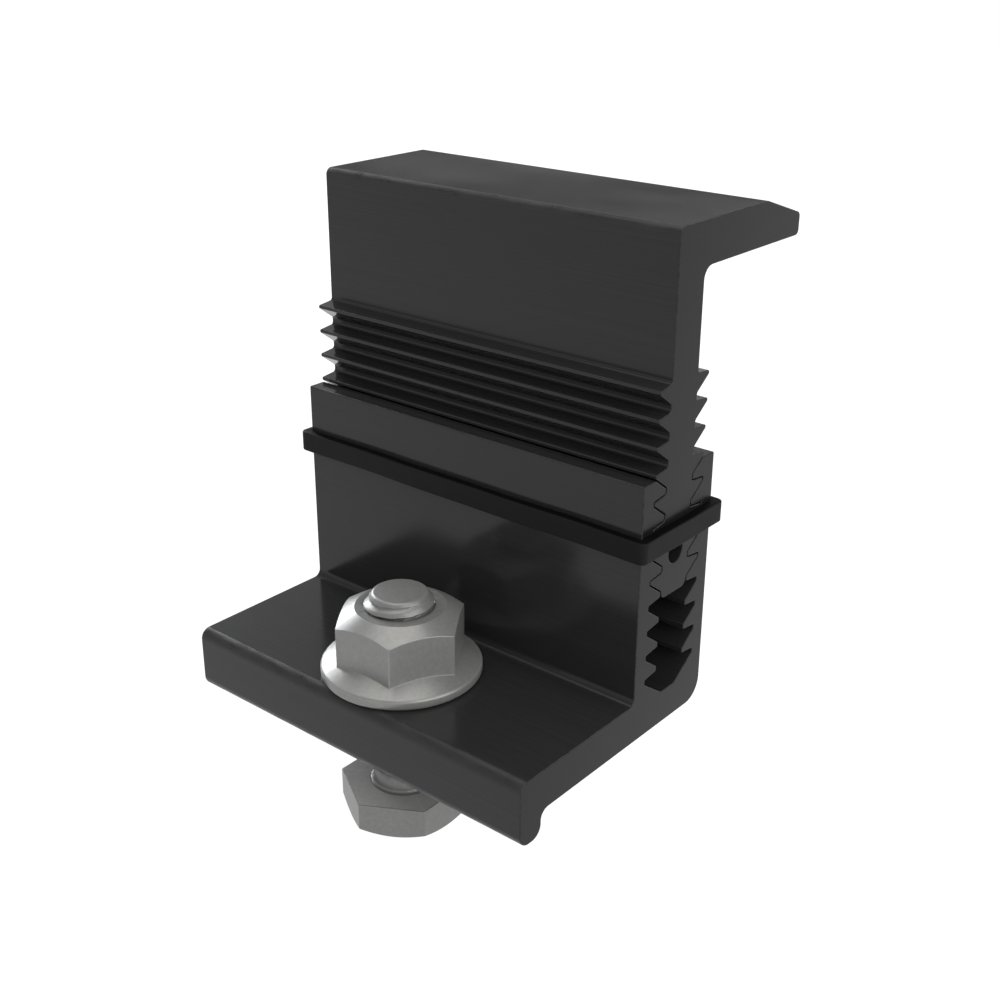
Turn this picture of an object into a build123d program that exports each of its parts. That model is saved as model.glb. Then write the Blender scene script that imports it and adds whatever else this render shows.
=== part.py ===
"""Adjustable end clamp that holds the edge of a solar module on a slotted mounting rail.

Two aluminium profiles mesh by teeth: a foot with an upright channel, and a hook whose stem
stands in the channel. A rubber band keeps them together, and a flange nut with a hexagon head
bolt clamps the foot to the rail. In millimetres: X runs along the profiles, +Y points to the
module, Z = 0 is the top of the rail, and the bolt stands on the Z axis.
"""
from build123d import *
from math import cos, radians, tan
import os

# Length that both profiles are sawn to, square across
clamp_length = 48.0

# Foot plate, with a heel along its front that bears on the rail
foot_front = 8.75
foot_thick = 4.70
heel_drop = 2.85
heel_width = 3.30
heel_toe_radius = 1.4
heel_root_radius = 1.1
foot_nose_radius = 1.2

# Upright block that holds the toothed channel
block_front = 10.25
block_thick = 13.0
block_height = 25.05
block_root_radius = 0.9
block_foot_radius = 2.5
block_edge_radius = 0.2

# Teeth, with nearly level tops that take the pull of the hook, and sloping undersides
stem_thick = 4.70
tooth_depth = 2.10
tooth_pitch = 2.95
tooth_slope = 36.5
tooth_top_fall = 0.25
tooth_blunt = 0.35
gullet_radius = 0.35
tooth_run = 0.15

# Channel
first_notch_above = 0.62
channel_floor_width = 2.6
channel_floor_radius = 0.9
channel_floor_wall = 3.0

# Hook: how high it stands in the channel, its stem, and its lip over the module
seat_steps = 3
hook_teeth = 8
hook_crown_rise = 15.70
stem_tail = 1.0
stem_tail_radius = 0.9
stem_bore = 2.60
stem_bore_rise = 4.80
lip_reach = 20.90
lip_thick = 4.65
lip_slope_run = 6.95
lip_slope_fall = 2.25
hook_crown_radius = 0.8
lip_ridge_radius = 1.0
lip_tip_radius = 0.6
lip_root_radius = 1.4

# Rubber band round the block and the ends of the stem
band_below_mouth = 5.60
band_height = 2.40
band_thick = 1.04
band_corner_radius = 0.4

# M8 bolt, with its hexagon head in the slot of the rail
thread_diameter = 8.0
bolt_length = 23.8
bolt_stand_out = 1.75
bolt_tip_taper = 1.0
bolt_tip_height = 1.45
bolt_tip_radius = 0.5
bolt_neck_radius = 0.4
bolt_hole = 8.4
head_across_flats = 13.0
head_face = 12.35
head_height = 4.0

# M8 hexagon nut with a flange
nut_across_flats = 13.0
nut_face = 10.0
nut_height = 8.0
nut_turn = 3.5
nut_run = 0.05
nut_mouth = 8.9
nut_mouth_angle = 45.0
flange_diameter = 17.9
flange_rim = 1.2
flange_angle = 25.0

# Chamfer that runs from the corners of both hexagons in to their faces, and half a side's angle
hexagon_chamfer_angle = 30.0
half_hexagon_side = 30.0

# How far a corner may lie off the stem's faces and still count as being on them
place_tolerance = 0.001

# Heights above the rail, and places across it, that follow from the sizes above
foot_top = heel_drop + foot_thick
block_back = block_front + block_thick
block_middle = block_front + block_thick / 2
nut_top = foot_top + nut_height
bolt_top = nut_top + bolt_stand_out
head_bearing = bolt_top - bolt_length
band_level = foot_top + block_height - band_below_mouth - band_height

# Heights of the teeth and of the hook above the top of the foot
slope = tan(radians(tooth_slope))
tooth_height = tooth_blunt + tooth_depth * slope
first_notch_top = block_height + first_notch_above
first_tooth_top = first_notch_top + seat_steps * tooth_pitch
last_tooth_top = first_tooth_top - (hook_teeth - 1) * tooth_pitch
hook_crown = first_tooth_top + hook_crown_rise
stem_end = last_tooth_top - tooth_height - stem_tail

# The channel has as many notches as leave enough wall under its floor
notch_half = stem_thick / 2 + tooth_depth + tooth_run
floor_drop = tooth_blunt + (notch_half - channel_floor_width / 2) * slope
notch_room = first_notch_top - floor_drop + foot_thick - channel_floor_wall
notches = int(notch_room / tooth_pitch) + 1
last_notch_top = first_notch_top - (notches - 1) * tooth_pitch
channel_floor = last_notch_top - floor_drop

# Teeth and channel are drawn about the middle of the stem, up from the top of the foot
teeth_plane = Plane(origin=(0, block_middle, foot_top), x_dir=(0, 1, 0), z_dir=(1, 0, 0))


def rounded_outline(*corners):
    """Closed outline through corners that are given as x, y and radius."""
    points = [(x, y) for x, y, radius in corners]
    return FilletPolyline(points, radius=[radius for x, y, radius in corners], close=True)


def hexagon_blank(across_flats, face, base, crown):
    """Half of the turned blank that a hexagon's corners are cut back to, with its face at the crown."""
    corner = across_flats / 2 / cos(radians(half_hexagon_side))
    toward = 1 if crown > base else -1
    shoulder = crown - toward * (corner - face / 2) * tan(radians(hexagon_chamfer_angle))
    outline = [(0, base), (corner, base), (corner, shoulder), (face / 2, crown), (0, crown)]
    return Polyline(*outline, close=True)


# One tooth, outward from the stem's face, with the level of its tip at Y = 0
with BuildSketch() as tooth:
    with BuildLine():
        Polyline(
            (-tooth_run, tooth_top_fall),
            (0, tooth_top_fall),
            (tooth_depth, 0),
            (tooth_depth, -tooth_blunt),
            (0, -tooth_height),
            (-tooth_run, -tooth_height),
            close=True,
        )
    make_face()

# The notch that takes a tooth, with an even gap all round it
with BuildSketch() as notch:
    add(tooth.sketch)
    offset(amount=tooth_run, kind=Kind.INTERSECTION)

# One half of the channel: room for the stem, the notches, and a floor that follows their slope
with BuildSketch() as channel_half:
    with BuildLine():
        rounded_outline(
            (0, channel_floor, 0),
            (channel_floor_width / 2, channel_floor, channel_floor_radius),
            (notch_half, last_notch_top - tooth_blunt, 0),
            (stem_thick / 2 + tooth_run, last_notch_top, 0),
            (stem_thick / 2 + tooth_run, first_notch_top, 0),
            (0, first_notch_top, 0),
        )
    make_face()
    with Locations(*[(stem_thick / 2, first_notch_top - n * tooth_pitch) for n in range(notches)]):
        add(notch.sketch)

with BuildPart() as foot_profile:
    with BuildSketch(Plane.YZ):
        with BuildLine():
            rounded_outline(
                (-foot_front, 0, heel_toe_radius),
                (heel_width - foot_front, 0, heel_toe_radius),
                (heel_width - foot_front, heel_drop, heel_root_radius),
                (block_back, heel_drop, block_foot_radius),
                (block_back, foot_top + block_height, block_edge_radius),
                (block_front, foot_top + block_height, block_edge_radius),
                (block_front, foot_top, block_root_radius),
                (-foot_front, foot_top, foot_nose_radius),
            )
        make_face()
    extrude(amount=clamp_length / 2, both=True)
    with BuildSketch(teeth_plane):
        add(channel_half.sketch)
        mirror(about=Plane.YZ)
    extrude(amount=clamp_length / 2, both=True, mode=Mode.SUBTRACT)
    with Locations((0, 0, foot_top)):
        Hole(bolt_hole / 2, depth=foot_thick)
foot_profile.part.label = "foot_profile"

with BuildPart() as hook_profile:
    with BuildSketch(teeth_plane):
        tooth_tops = [last_tooth_top + n * tooth_pitch for n in range(hook_teeth)]
        with Locations(*[(stem_thick / 2, height) for height in tooth_tops]):
            add(tooth.sketch)
        mirror(about=Plane.YZ)
        with BuildLine():
            rounded_outline(
                (-stem_thick / 2, stem_end, stem_tail_radius),
                (stem_thick / 2, stem_end, stem_tail_radius),
                (stem_thick / 2, hook_crown - lip_thick, lip_root_radius),
                (lip_reach, hook_crown - lip_thick, lip_tip_radius),
                (lip_reach, hook_crown - lip_slope_fall, lip_tip_radius),
                (lip_reach - lip_slope_run, hook_crown, lip_ridge_radius),
                (-stem_thick / 2, hook_crown, hook_crown_radius),
            )
        make_face()
        on_stem = vertices().filter_by(
            lambda corner: abs(abs(corner.X) - stem_thick / 2) < place_tolerance
        )
        above_last = on_stem.filter_by(lambda corner: corner.Y > last_tooth_top)
        gullets = above_last.filter_by(lambda corner: corner.Y < tooth_tops[-1])
        fillet(gullets, gullet_radius)
        with Locations((0, stem_end + stem_bore_rise)):
            Circle(stem_bore / 2, mode=Mode.SUBTRACT)
    extrude(amount=clamp_length / 2, both=True)
hook_profile.part.label = "hook_profile"

with BuildPart() as retaining_band:
    with BuildSketch(Plane.XY.offset(band_level)):
        with Locations((0, block_middle)):
            RectangleRounded(
                clamp_length + 2 * band_thick, block_thick + 2 * band_thick, band_corner_radius
            )
            Rectangle(clamp_length, block_thick, mode=Mode.SUBTRACT)
    extrude(amount=band_height)
retaining_band.part.label = "retaining_band"

with BuildPart() as hex_bolt:
    with BuildSketch(Plane.XY.offset(head_bearing)):
        RegularPolygon(head_across_flats / 2, 6, major_radius=False, rotation=half_hexagon_side)
    extrude(amount=-head_height)
    with BuildSketch(Plane.XZ):
        with BuildLine():
            hexagon_blank(head_across_flats, head_face, head_bearing, head_bearing - head_height)
        make_face()
    revolve(axis=Axis.Z, mode=Mode.INTERSECT)
    with BuildSketch(Plane.XZ):
        with BuildLine():
            rounded_outline(
                (0, head_bearing, 0),
                (thread_diameter / 2 + bolt_neck_radius, head_bearing, 0),
                (thread_diameter / 2, head_bearing + bolt_neck_radius, 0),
                (thread_diameter / 2, bolt_top - bolt_tip_height, 0),
                (thread_diameter / 2 - bolt_tip_taper, bolt_top, bolt_tip_radius),
                (0, bolt_top, 0),
            )
        make_face()
    revolve(axis=Axis.Z)
hex_bolt.part.label = "hex_bolt"

with BuildPart() as flange_nut:
    with BuildSketch(Plane.XY.offset(foot_top)):
        RegularPolygon(nut_across_flats / 2, 6, major_radius=False, rotation=nut_turn)
    extrude(amount=nut_height)
    with BuildSketch(Plane.XZ):
        with BuildLine():
            hexagon_blank(nut_across_flats, nut_face, foot_top, nut_top)
        make_face()
    revolve(axis=Axis.Z, mode=Mode.INTERSECT)
    with BuildSketch(Plane.XZ):
        cone_rise = flange_diameter / 2 * tan(radians(flange_angle))
        with BuildLine():
            Polyline(
                (0, foot_top),
                (flange_diameter / 2, foot_top),
                (flange_diameter / 2, foot_top + flange_rim),
                (0, foot_top + flange_rim + cone_rise),
                close=True,
            )
        make_face()
    revolve(axis=Axis.Z)
    bore = thread_diameter / 2 + nut_run
    mouth_fall = (nut_mouth / 2 - bore) * tan(radians(nut_mouth_angle))
    with BuildSketch(Plane.XZ):
        with BuildLine():
            Polyline(
                (0, foot_top),
                (nut_mouth / 2, foot_top),
                (bore, foot_top + mouth_fall),
                (bore, nut_top - mouth_fall),
                (nut_mouth / 2, nut_top),
                (0, nut_top),
                close=True,
            )
        make_face()
    revolve(axis=Axis.Z, mode=Mode.SUBTRACT)
flange_nut.part.label = "flange_nut"

os.makedirs("parts", exist_ok=True)
export_step(foot_profile.part, "parts/foot_profile.step")
export_step(hook_profile.part, "parts/hook_profile.step")
export_step(retaining_band.part, "parts/retaining_band.step")
export_step(hex_bolt.part, "parts/hex_bolt.step")
export_step(flange_nut.part, "parts/flange_nut.step")
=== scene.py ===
"""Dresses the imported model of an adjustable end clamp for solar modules.

Every size is in millimetres in the frame of the CAD model: X runs along the profiles, +Y points
to the module, Z = 0 is the top of the rail, and the bolt stands on the Z axis. Meshes are
written in metres. The order is profiles, rubber band, bolt, nut, and then the studio.
"""
import logging
import math
from dataclasses import dataclass, field
from enum import Enum

import bpy
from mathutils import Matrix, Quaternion, Vector
from mathutils.geometry import tessellate_polygon

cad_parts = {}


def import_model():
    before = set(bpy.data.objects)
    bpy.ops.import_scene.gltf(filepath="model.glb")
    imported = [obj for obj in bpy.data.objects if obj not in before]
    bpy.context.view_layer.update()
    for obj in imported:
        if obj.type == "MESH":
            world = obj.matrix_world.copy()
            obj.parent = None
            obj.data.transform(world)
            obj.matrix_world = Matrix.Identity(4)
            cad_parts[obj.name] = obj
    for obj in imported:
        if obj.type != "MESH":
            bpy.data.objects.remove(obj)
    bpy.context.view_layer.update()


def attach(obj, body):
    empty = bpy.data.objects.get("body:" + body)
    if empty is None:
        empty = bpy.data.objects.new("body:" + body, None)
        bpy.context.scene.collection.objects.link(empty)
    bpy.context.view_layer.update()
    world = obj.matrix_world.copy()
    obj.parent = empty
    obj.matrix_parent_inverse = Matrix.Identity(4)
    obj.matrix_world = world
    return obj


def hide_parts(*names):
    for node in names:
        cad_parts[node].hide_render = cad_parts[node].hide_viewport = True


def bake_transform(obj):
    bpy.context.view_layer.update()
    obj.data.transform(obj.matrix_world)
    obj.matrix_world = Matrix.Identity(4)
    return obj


MM = 0.001
FULL_TURN = 2.0 * math.pi
LOG = logging.getLogger("end_clamp")

NEARLY_STRAIGHT = math.radians(179.5)
"""A corner that opens wider than this has nothing to round."""

LEAST_LEAN = 0.3
"""Keeps the sharpest corners of a sunk outline from running away."""

SAWN_NORMAL = 0.9999
"""A face that looks along X more squarely than this is a sawn end."""

AREA_WEIGHT = 80
"""How strongly large faces set the shading where faces meet smoothly."""

SAWN_STEPS = 3
"""How many steps the eased edge of a sawn end has."""

RING_RATE = 20.0
"""The wave texture's own rate, by which its scale is divided."""

HALF_FLAT = math.radians(30)
"""Half the angle that one flat of a hexagon takes up."""

CHAMFER = math.radians(30)
"""The slope of the chamfer on a fastener's corners."""

Corner = tuple[float, float, float]
"""A corner of an outline: across, up, and the radius it is rounded with."""

Spot = tuple[float, float, float]
"""A point on a finished outline: across, up, and how much it stands out to wear."""


class ThreadSide(Enum):
    """Which wall of a threaded pair a helix is cut into."""

    SHANK = "shank"
    BORE = "bore"


class Cut(Enum):
    """How a face of a profile came about, which is also its material slot's place."""

    DRAWN = 0
    SAWN = 1


# Outlines: corners in order, rounded into spots.


def rounded_corner(before: Corner, corner: Corner, after: Corner, steps: int) -> list[Spot]:
    """Rounds one corner of an outline that runs with its material on the left.

    Args:
        before: The corner it comes from.
        corner: The corner to round.
        after: The corner it goes on to.
        steps: How many straight steps the arc has.

    Returns:
        The arc's spots. Those inside the arc of an outer corner stand out to wear.
    """
    here = Vector(corner[:2])
    back, ahead = (Vector(before[:2]) - here).normalized(), (Vector(after[:2]) - here).normalized()
    radius = corner[2]
    opening = back.angle(ahead)
    if radius <= 0.0 or opening > NEARLY_STRAIGHT:
        return [(here.x, here.y, 0.0)]
    reach = radius / math.tan(opening / 2)
    centre = here + (back + ahead).normalized() * (radius / math.sin(opening / 2))
    start, end = here + back * reach - centre, here + ahead * reach - centre
    outer = ahead.x * back.y - ahead.y * back.x > 0.0
    sweep = start.angle(end)
    spots = []
    for step in range(steps + 1):
        share = step / steps
        arm = (
            start * math.sin((1.0 - share) * sweep) + end * math.sin(share * sweep)
        ) / math.sin(sweep)
        wear = 1.0 if outer and 0 < step < steps else 0.0
        spots.append((centre.x + arm.x, centre.y + arm.y, wear))
    return spots


def rounded_line(corners: list[Corner], closed: bool, steps: int = 8) -> list[Spot]:
    """Rounds the corners of an outline.

    Args:
        corners: The corners in order, with the material on the left.
        closed: Whether the outline goes back from its last corner to its first.
        steps: How many straight steps each arc has.

    Returns:
        The spots of the outline in the same order.
    """
    spots: list[Spot] = []
    last = len(corners) - 1
    for place, corner in enumerate(corners):
        if not closed and place in (0, last):
            spots.append((corner[0], corner[1], 0.0))
            continue
        after = corners[(place + 1) % len(corners)]
        spots.extend(rounded_corner(corners[place - 1], corner, after, steps))
    return spots


def sunk(spots: list[Spot], depth: float) -> list[tuple[float, float]]:
    """Moves a closed outline into its material.

    Args:
        spots: The outline, with the material on its left.
        depth: How far it moves.

    Returns:
        The moved points, one for each spot.
    """
    moved = []
    for place, spot in enumerate(spots):
        here = Vector(spot[:2])
        came = (here - Vector(spots[place - 1][:2])).normalized()
        goes = (Vector(spots[(place + 1) % len(spots)][:2]) - here).normalized()
        inward = Vector((-came.y - goes.y, came.x + goes.x)).normalized()
        lean = max(LEAST_LEAN, inward.dot(Vector((-came.y, came.x))))
        moved.append(tuple(here + inward * (depth / lean)))
    return moved


# Meshes: pieces made from outlines, in metres.


def new_mesh(
    name: str, points: list[tuple[float, float, float]], faces: list[tuple[int, ...]]
) -> bpy.types.Mesh:
    """Makes a mesh in metres from points in millimetres.

    Args:
        name: The mesh's name.
        points: Its points, in millimetres.
        faces: The points of each face.

    Returns:
        The mesh.
    """
    mesh = bpy.data.meshes.new(name)
    mesh.from_pydata([tuple(v * MM for v in point) for point in points], [], faces)
    return mesh


def set_marks(mesh: bpy.types.Mesh, name: str, values: list[float]) -> None:
    """Writes one number for each point of a mesh, which a finish or a tree reads by name.

    Args:
        mesh: The mesh.
        name: The numbers' name.
        values: One for each point.
    """
    mesh.attributes.new(name, "FLOAT", "POINT").data.foreach_set("value", values)


def part_way(
    start: tuple[float, ...], end: tuple[float, ...], part: int, parts: int
) -> tuple[float, float]:
    """Gives the point that lies some parts of the way along a straight line.

    Args:
        start: Where the line starts.
        end: Where it ends.
        part: How many parts to go.
        parts: How many parts the line has.

    Returns:
        The point.
    """
    return (
        start[0] + (end[0] - start[0]) * part / parts,
        start[1] + (end[1] - start[1]) * part / parts,
    )


def new_piece(name: str, mesh: bpy.types.Mesh) -> bpy.types.Object:
    """Puts a mesh into the scene as an object at the origin.

    Args:
        name: The piece's name.
        mesh: Its mesh.

    Returns:
        The new object.
    """
    piece = bpy.data.objects.new(name, mesh)
    bpy.context.scene.collection.objects.link(piece)
    return piece


def settle(piece: bpy.types.Object) -> None:
    """Turns a piece's modifiers into plain mesh and takes them off.

    Args:
        piece: The piece.
    """
    graph = bpy.context.evaluated_depsgraph_get()
    made = bpy.data.meshes.new_from_object(
        piece.evaluated_get(graph), preserve_all_data_layers=True, depsgraph=graph
    )
    old, made.name = piece.data, piece.name
    piece.modifiers.clear()
    piece.data = made
    bpy.data.meshes.remove(old)


def smooth_over(piece: bpy.types.Object, sharpest: float = 45.0) -> None:
    """Shades a piece smoothly, with its large faces and its sawn ends kept flat.

    Args:
        piece: The piece.
        sharpest: Edges that turn by more degrees than this stay sharp.
    """
    mesh = piece.data
    mesh.set_sharp_from_angle(angle=math.radians(sharpest))
    curved = [abs(face.normal.x) < SAWN_NORMAL for face in mesh.polygons]
    mesh.polygons.foreach_set("use_smooth", curved)
    weighted = piece.modifiers.new("flat_faces", "WEIGHTED_NORMAL")
    weighted.mode = "FACE_AREA"
    weighted.weight = AREA_WEIGHT
    weighted.keep_sharp = True
    settle(piece)


def sawn_bar(
    name: str, outer: list[Spot], bores: list[list[Spot]], length: float, soft: float
) -> bpy.types.Mesh:
    """Makes a length of a drawn profile, sawn square, with the edges of its ends eased.

    Args:
        name: The mesh's name.
        outer: The profile's outline across Y and Z, with the material on its left.
        bores: Outlines of the holes that run through it, with the material on their left.
        length: The length along X, with X = 0 at its middle.
        soft: The radius that the ends' edges are eased with.

    Returns:
        The mesh, in metres, with a vertex attribute "edge" where it wears.
    """
    steps, half = SAWN_STEPS, length / 2
    points: list[tuple[float, float, float]] = []
    wear: list[float] = []
    faces: list[tuple[int, ...]] = []
    cuts: list[int] = []
    rims: dict[int, list[list[int]]] = {-1: [], 1: []}
    for loop in [outer, *bores]:
        count = len(loop)
        rows = []
        for side in (-1, 1):
            turns = range(steps + 1) if side < 0 else range(steps, -1, -1)
            for step in turns:
                angle = step / steps * math.pi / 2
                flat = sunk(loop, soft * (1.0 - math.sin(angle)))
                x = side * (half - soft * (1.0 - math.cos(angle)))
                rows.append(len(points))
                points.extend((x, y, z) for y, z in flat)
                wear.extend(
                    0.0 if step < 1 else max(spot[2], float(step < steps)) for spot in loop
                )
        for row, (low, high) in enumerate(zip(rows, rows[1:])):
            for place in range(count):
                after = (place + 1) % count
                faces.append((low + place, low + after, high + after, high + place))
                cuts.append(Cut.DRAWN.value if row == steps else Cut.SAWN.value)
        rims[-1].append([rows[0] + place for place in range(count)])
        rims[1].append([rows[-1] + place for place in range(count)])
    for side, loops in rims.items():
        flat_loops = [
            [Vector((points[i][1], points[i][2], 0.0)) for i in loop] for loop in loops
        ]
        order = [i for loop in loops for i in loop]
        for triangle in tessellate_polygon(flat_loops):
            a, b, c = (order[i] for i in triangle)
            area = (points[b][1] - points[a][1]) * (points[c][2] - points[a][2]) - (
                points[c][1] - points[a][1]
            ) * (points[b][2] - points[a][2])
            faces.append((a, b, c) if area * side > 0 else (a, c, b))
            cuts.append(Cut.SAWN.value)
    mesh = new_mesh(name, points, faces)
    mesh.polygons.foreach_set("material_index", cuts)
    set_marks(mesh, "edge", wear)
    mesh.update()
    return mesh


@dataclass(frozen=True)
class Station:
    """A point of a turned piece's section, with what the finishing steps ask of it."""

    radius: float
    height: float
    wear: float = 0.0
    threaded: bool = False


def turned(
    name: str, angles: list[float], sections: list[list[Station]], ring: bool
) -> bpy.types.Mesh:
    """Makes a piece that stands round the Z axis from its section at each angle.

    Args:
        name: The mesh's name.
        angles: The angles about Z, in radians, in rising order.
        sections: One section for each angle, all of the same number of stations. They run
            from the bottom out, up, and in again.
        ring: Whether the section closes on itself. Otherwise it starts and ends on the axis.

    Returns:
        The mesh, in metres, with vertex attributes "edge" and "threaded".
    """
    points, wear, threaded, faces = [], [], [], []
    count = len(sections[0])
    inner = range(count) if ring else range(1, count - 1)
    place: dict[tuple[int, int], int] = {}
    for turn, (angle, section) in enumerate(zip(angles, sections)):
        for rank in inner:
            station = section[rank]
            place[turn, rank] = len(points)
            out = station.radius
            points.append((out * math.cos(angle), out * math.sin(angle), station.height))
            wear.append(station.wear)
            threaded.append(1.0 if station.threaded else 0.0)
    if not ring:
        for rank in (0, count - 1):
            for turn in range(len(angles)):
                place[turn, rank] = len(points)
            points.append((0.0, 0.0, sections[0][rank].height))
            wear.append(0.0)
            threaded.append(0.0)
    for turn in range(len(angles)):
        beside = (turn + 1) % len(angles)
        for rank in range(count if ring else count - 1):
            above = (rank + 1) % count
            corners = (
                place[turn, rank],
                place[beside, rank],
                place[beside, above],
                place[turn, above],
            )
            faces.append(tuple(dict.fromkeys(corners)))
    mesh = new_mesh(name, points, faces)
    set_marks(mesh, "edge", wear)
    set_marks(mesh, "threaded", threaded)
    mesh.update()
    return mesh


def stations(spots: list[Spot], threaded: bool = False) -> list[Station]:
    """Turns the spots of a rounded section into stations."""
    return [Station(spot[0], spot[1], spot[2], threaded) for spot in spots]


def rows_between(
    start: tuple[float, float], end: tuple[float, float], step: float
) -> list[Station]:
    """Splits a straight run of a section into even rows that a thread can be cut into.

    Args:
        start: Radius and height where the run starts.
        end: Radius and height where it ends.
        step: The longest rise from row to row.

    Returns:
        The rows' stations, both ends among them.
    """
    count = max(1, math.ceil(abs(end[1] - start[1]) / step))
    rows = range(count + 1)
    return [Station(*part_way(start, end, row, count), wear=0.0, threaded=True) for row in rows]


# Node trees that make what repeats.


def connect(tree: bpy.types.NodeTree, socket: bpy.types.NodeSocket, feed: object) -> None:
    """Feeds a node's input.

    Args:
        tree: The tree that the node is in.
        socket: The input.
        feed: The socket that it is linked to, or the value that it takes.
    """
    if isinstance(feed, bpy.types.NodeSocket):
        tree.links.new(feed, socket)
    else:
        socket.default_value = feed


class NodeTree:
    """A geometry node tree in the making, with named inputs for its sizes."""

    def __init__(self, name: str, inputs: dict[str, str]) -> None:
        """Starts a tree.

        Args:
            name: The tree's name.
            inputs: The type of each named input, after the geometry.
        """
        self.tree = bpy.data.node_groups.new(name, "GeometryNodeTree")
        self.tree.interface.new_socket("Geometry", in_out="INPUT", socket_type="NodeSocketGeometry")
        self.keys = {
            label: self.tree.interface.new_socket(label, in_out="INPUT", socket_type=kind).identifier
            for label, kind in inputs.items()
        }
        self.tree.interface.new_socket("Geometry", in_out="OUTPUT", socket_type="NodeSocketGeometry")
        self.given = self.tree.nodes.new("NodeGroupInput").outputs
        self.result = self.tree.nodes.new("NodeGroupOutput").inputs[0]

    def node(self, kind: str, *feeds: object, **settings: object) -> bpy.types.Node:
        """Adds a node.

        Args:
            kind: The node's type without its GeometryNode or ShaderNode start.
            feeds: What its inputs take, in order: a socket, a value, or None to leave it.
            settings: The node's own settings.

        Returns:
            The new node.
        """
        made = self.tree.nodes.new(kind)
        for key, value in settings.items():
            setattr(made, key, value)
        for socket, feed in zip(made.inputs, feeds):
            if feed is not None:
                connect(self.tree, socket, feed)
        return made

    def math(self, operation: str, *feeds: object) -> bpy.types.NodeSocket:
        """Adds a Math node and returns its result."""
        return self.node("ShaderNodeMath", *feeds, operation=operation).outputs[0]

    def end(self, geometry: bpy.types.NodeSocket, material: bpy.types.NodeSocket) -> None:
        """Ends the tree in real geometry with its material set.

        Args:
            geometry: What the tree made.
            material: The material that it takes.
        """
        real = self.node("GeometryNodeRealizeInstances", geometry).outputs[0]
        dressed = self.node("GeometryNodeSetMaterial", real)
        self.tree.links.new(material, dressed.inputs["Material"])
        self.tree.links.new(dressed.outputs[0], self.result)

    def apply(self, piece: bpy.types.Object, values: dict[str, object]) -> None:
        """Runs the tree on a piece and keeps the result as plain mesh.

        Args:
            piece: The piece.
            values: What each named input is set to.
        """
        modifier = piece.modifiers.new(self.tree.name, "NODES")
        modifier.node_group = self.tree
        for label, value in values.items():
            modifier[self.keys[label]] = value
        piece.update_tag()
        settle(piece)


def tooth_rack_tree() -> NodeTree:
    """Makes the tree that repeats the outline of one tooth up a stem or a channel.

    Returns:
        The tree.
    """
    made = NodeTree(
        "tooth_rack",
        {
            "Teeth": "NodeSocketInt",
            "Pitch": "NodeSocketFloat",
            "Weld": "NodeSocketFloat",
            "Material": "NodeSocketMaterial",
        },
    )
    given = made.given
    rise = made.node("ShaderNodeCombineXYZ", None, None, given["Pitch"]).outputs[0]
    line = made.node("GeometryNodeMeshLine", given["Teeth"], None, None, rise, mode="OFFSET")
    teeth = made.node("GeometryNodeInstanceOnPoints", line.outputs[0], None, given["Geometry"])
    real = made.node("GeometryNodeRealizeInstances", teeth.outputs[0])
    welded = made.node("GeometryNodeMergeByDistance", real.outputs[0])
    made.tree.links.new(given["Weld"], welded.inputs["Distance"])
    made.end(welded.outputs[0], given["Material"])
    return made


def thread_tree() -> NodeTree:
    """Makes the tree that cuts a right-hand helix into the stations marked as threaded.

    Returns:
        The tree.
    """
    made = NodeTree(
        "cut_thread",
        {
            "Pitch": "NodeSocketFloat",
            "Crest Radius": "NodeSocketFloat",
            "Root Radius": "NodeSocketFloat",
            "Crest Share": "NodeSocketFloat",
            "Root Share": "NodeSocketFloat",
            "Allowance": "NodeSocketFloat",
            "In Bore": "NodeSocketBool",
            "Material": "NodeSocketMaterial",
        },
    )
    given = made.given
    where = made.node("GeometryNodeInputPosition").outputs[0]
    x, y, z = made.node("ShaderNodeSeparateXYZ", where).outputs
    turn = made.math("DIVIDE", made.math("ARCTAN2", y, x), FULL_TURN)
    phase = made.math("FRACT", made.math("SUBTRACT", made.math("DIVIDE", z, given["Pitch"]), turn))
    ridge = made.math("ABSOLUTE", made.math("MULTIPLY_ADD", phase, 2.0, -1.0))
    flank_end = made.math("SUBTRACT", 1.0, given["Crest Share"])
    radii = given["Root Radius"], given["Crest Radius"]
    cut = made.node("ShaderNodeMapRange", ridge, given["Root Share"], flank_end, *radii)
    wall = made.math("ADD", cut.outputs[0], given["Allowance"])
    across = made.node("ShaderNodeCombineXYZ", x, y).outputs[0]
    now = made.node("ShaderNodeVectorMath", across, operation="LENGTH").outputs["Value"]
    switch = made.node("GeometryNodeSwitch", given["In Bore"], input_type="FLOAT")
    made.tree.links.new(made.math("MINIMUM", now, cut.outputs[0]), switch.inputs["False"])
    made.tree.links.new(made.math("MAXIMUM", now, wall), switch.inputs["True"])
    share = made.math("DIVIDE", switch.outputs[0], made.math("MAXIMUM", now, 1e-6))
    new_x, new_y = made.math("MULTIPLY", x, share), made.math("MULTIPLY", y, share)
    moved = made.node("ShaderNodeCombineXYZ", new_x, new_y, z)
    mark = made.node("GeometryNodeInputNamedAttribute", "threaded", data_type="FLOAT").outputs[0]
    over_half = {"data_type": "FLOAT", "operation": "GREATER_THAN"}
    chosen = made.node("FunctionNodeCompare", mark, 0.5, **over_half).outputs[0]
    placed = made.node("GeometryNodeSetPosition", given["Geometry"], chosen, moved.outputs[0])
    made.end(placed.outputs[0], given["Material"])
    return made


# Finishes: one class for each.


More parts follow.
